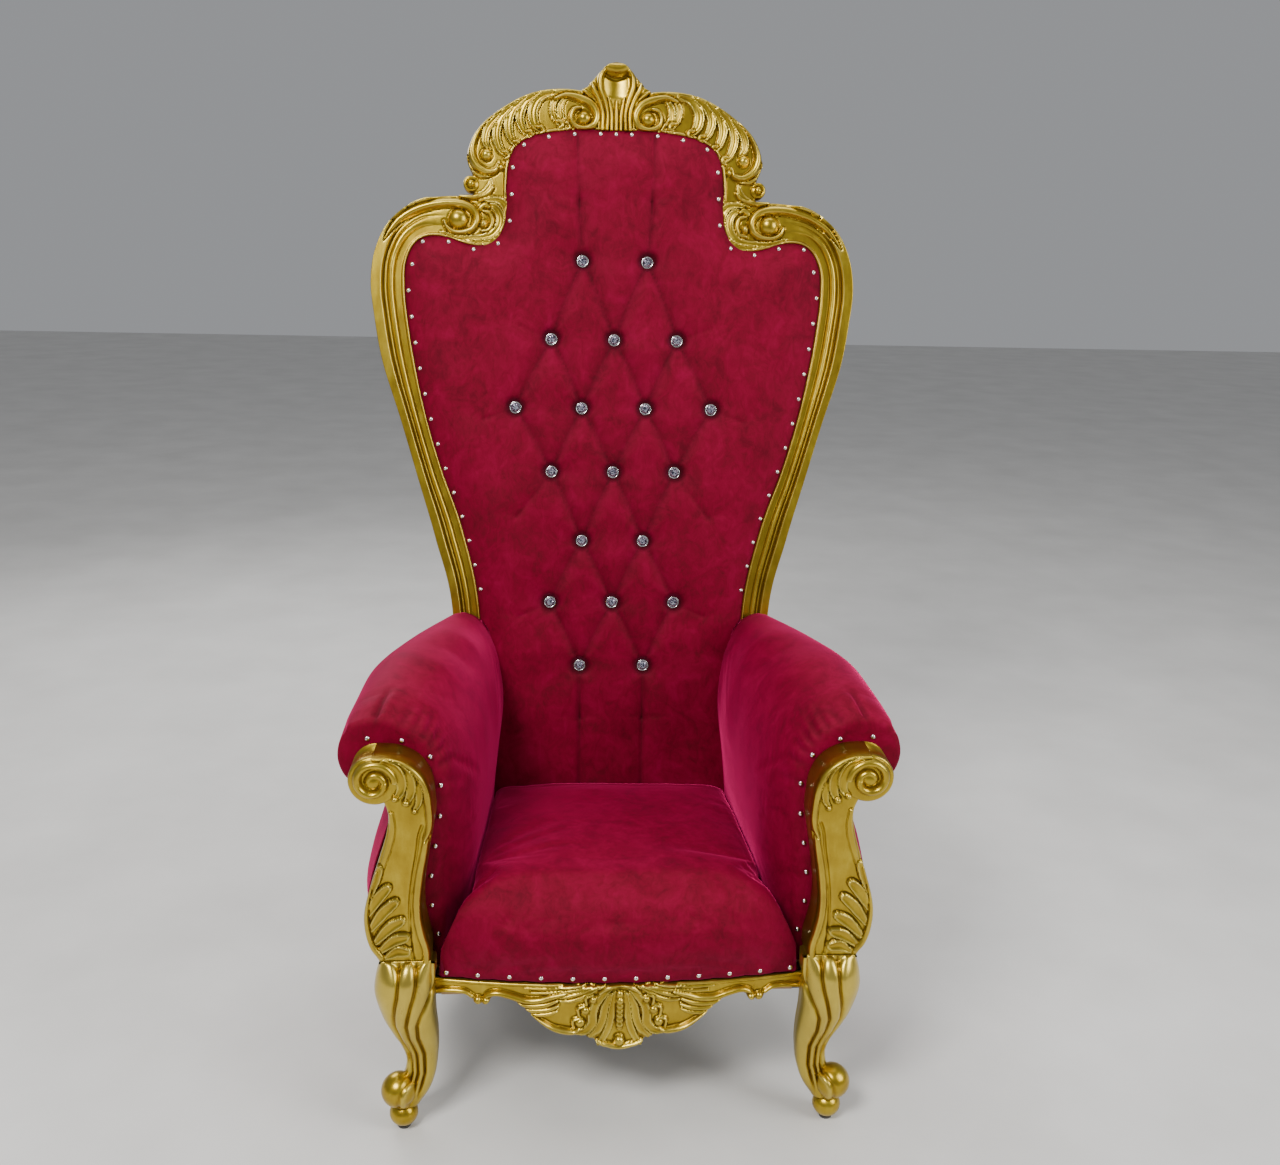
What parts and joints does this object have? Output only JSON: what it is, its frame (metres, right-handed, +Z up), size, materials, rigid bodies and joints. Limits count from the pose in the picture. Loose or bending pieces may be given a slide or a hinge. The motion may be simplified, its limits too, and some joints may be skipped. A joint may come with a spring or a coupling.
{
  "type": "throne armchair",
  "caption": "High-back throne armchair with a carved gold-painted frame, deep-buttoned red velvet back with crystal buttons, rolled arms and short cabriole front legs.",
  "frame": {"origin": "on the floor, under the middle of the chair's bounding box", "axes": "+X to the right seen from the front, +Y from front to back (the chair faces -Y), +Z up"},
  "size_m": [0.94, 0.8203, 1.8031],
  "materials": {
    "gold_paint": "metallic gold paint on carved hardwood, satin",
    "velvet": "short-pile crimson velvet with a magenta sheen",
    "foam": "open-cell upholstery foam",
    "raw_wood": "planed, unfinished",
    "plywood": "sanded plywood",
    "lining_cloth": "black lining cloth",
    "steel": "plain steel wire and fixings",
    "polished_nickel": "polished nickel",
    "crystal": "clear faceted crystal",
    "glide_plastic": "nylon"
  },
  "bodies": {
    "root": {"arm_cover_left": "velvet", "arm_cover_right": "velvet", "arm_foam_left": "foam", "arm_foam_right": "foam", "arm_liner_rail_left": "raw_wood", "arm_liner_rail_right": "raw_wood", "arm_nails_left": "polished_nickel", "arm_nails_right": "polished_nickel", "arm_post_left": "gold_paint", "arm_post_right": "gold_paint", "arm_rail_left": "raw_wood", "arm_rail_right": "raw_wood", "back_board": "plywood", "back_bolts": "steel", "back_cover": "velvet", "back_cross_rail": "raw_wood", "back_foam": "foam", "back_nails": "polished_nickel", "block_screws": "steel", "button_rims": "polished_nickel", "corner_blocks": "raw_wood", "crest_dowels": "raw_wood", "crest_finial": "gold_paint", "crest_rail_left": "gold_paint", "crest_rail_right": "gold_paint", "crystal_buttons": "crystal", "dust_cover": "lining_cloth", "foot_glides": "glide_plastic", "front_leg_left": "gold_paint", "front_leg_right": "gold_paint", "front_rail": "gold_paint", "inner_rail": "raw_wood", "leg_dowels": "raw_wood", "outer_arm_cover_left": "velvet", "outer_arm_cover_right": "velvet", "outer_back_cover": "velvet", "rear_leg_left": "gold_paint", "rear_leg_right": "gold_paint", "rear_rail": "raw_wood", "seat_cover": "velvet", "seat_foam": "foam", "seat_nails": "polished_nickel", "seat_springs": "steel", "shoulder_left": "gold_paint", "shoulder_right": "gold_paint", "side_rail_left": "raw_wood", "side_rail_right": "raw_wood", "spring_clips": "steel", "spring_cover": "lining_cloth", "stile_left": "gold_paint", "stile_right": "gold_paint"}
  },
  "joints": []
}
